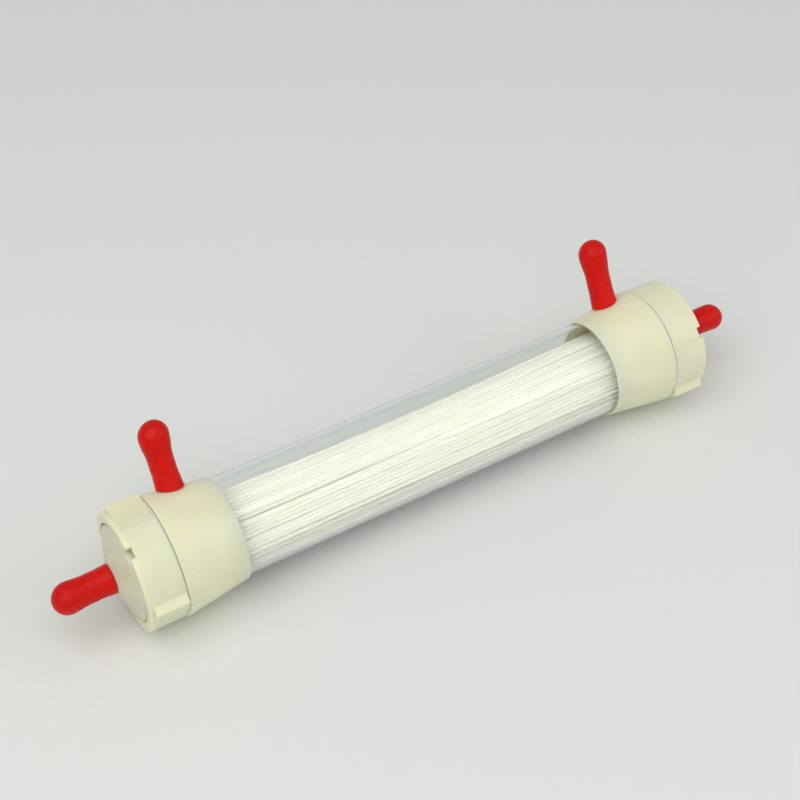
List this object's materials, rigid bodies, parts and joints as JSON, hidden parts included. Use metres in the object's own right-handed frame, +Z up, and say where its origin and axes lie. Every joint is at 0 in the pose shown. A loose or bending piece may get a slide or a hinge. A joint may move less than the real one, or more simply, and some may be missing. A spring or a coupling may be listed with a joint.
{
  "type": "hollow fiber membrane module",
  "caption": "Clear tube of hollow fibres between two ivory tee bodies, each with a threaded union nut, barbed end and side ports and red pull-off caps.",
  "frame": {"origin": "middle of the clear tube's axis, halfway between the two tee bodies", "axes": "+X along the tube to the right, +Y away from the viewer, +Z up, as the module lies on a bench"},
  "size_m": [0.315, 0.0581, 0.0689],
  "materials": {
    "clear_tube": "clear acrylic, polished",
    "fibre": "off-white, satin",
    "ivory_moulding": "ivory moulding, soft gloss",
    "port_moulding": "natural translucent moulding",
    "potting_resin": "cast resin",
    "seal": "pale silicone",
    "cap_vinyl": "soft red vinyl, satin"
  },
  "bodies": {
    "housing": {"housing_tube": "clear_tube", "fibre_bundle": "fibre", "left_tee_body": "ivory_moulding", "left_potting": "potting_resin", "left_end_gasket": "seal", "right_tee_body": "ivory_moulding", "right_potting": "potting_resin", "right_end_gasket": "seal"},
    "left_end_fitting": {"left_end_port": "port_moulding"},
    "left_nut": {"left_union_nut": "ivory_moulding"},
    "left_end_cap": {"left_end_port_cap": "cap_vinyl"},
    "left_side_cap": {"left_side_port_cap": "cap_vinyl"},
    "right_end_fitting": {"right_end_port": "port_moulding"},
    "right_nut": {"right_union_nut": "ivory_moulding"},
    "right_end_cap": {"right_end_port_cap": "cap_vinyl"},
    "right_side_cap": {"right_side_port_cap": "cap_vinyl"}
  },
  "joints": [
    {"name": "left_end_port_slide", "type": "slide", "parent": "housing", "child": "left_end_fitting", "axis": [-1, 0, 0], "range_m": [0, 0.009]},
    {"name": "left_nut_turn", "type": "hinge", "parent": "left_end_fitting", "child": "left_nut", "pos_m": [-0.1218, 0, 0], "axis": [-1, 0, 0], "range_deg": [0, 1080]},
    {"name": "left_end_cap_pull", "type": "slide", "parent": "left_end_fitting", "child": "left_end_cap", "axis": [-1, 0, 0], "range_m": [0, 0.04]},
    {"name": "left_side_cap_pull", "type": "slide", "parent": "housing", "child": "left_side_cap", "axis": [0, 0.5505, 0.8348], "range_m": [0, 0.04]},
    {"name": "right_end_port_slide", "type": "slide", "parent": "housing", "child": "right_end_fitting", "axis": [1, 0, 0], "range_m": [0, 0.009]},
    {"name": "right_nut_turn", "type": "hinge", "parent": "right_end_fitting", "child": "right_nut", "pos_m": [0.1218, 0, 0], "axis": [1, 0, 0], "range_deg": [0, 1080]},
    {"name": "right_end_cap_pull", "type": "slide", "parent": "right_end_fitting", "child": "right_end_cap", "axis": [1, 0, 0], "range_m": [0, 0.04]},
    {"name": "right_side_cap_pull", "type": "slide", "parent": "housing", "child": "right_side_cap", "axis": [0, 0.5505, 0.8348], "range_m": [0, 0.04]}
  ],
  "couplings": [
    {"joint": "left_end_port_slide", "follows": "left_nut_turn", "m_per_rad": 0.00047746},
    {"joint": "right_end_port_slide", "follows": "right_nut_turn", "m_per_rad": 0.00047746}
  ]
}
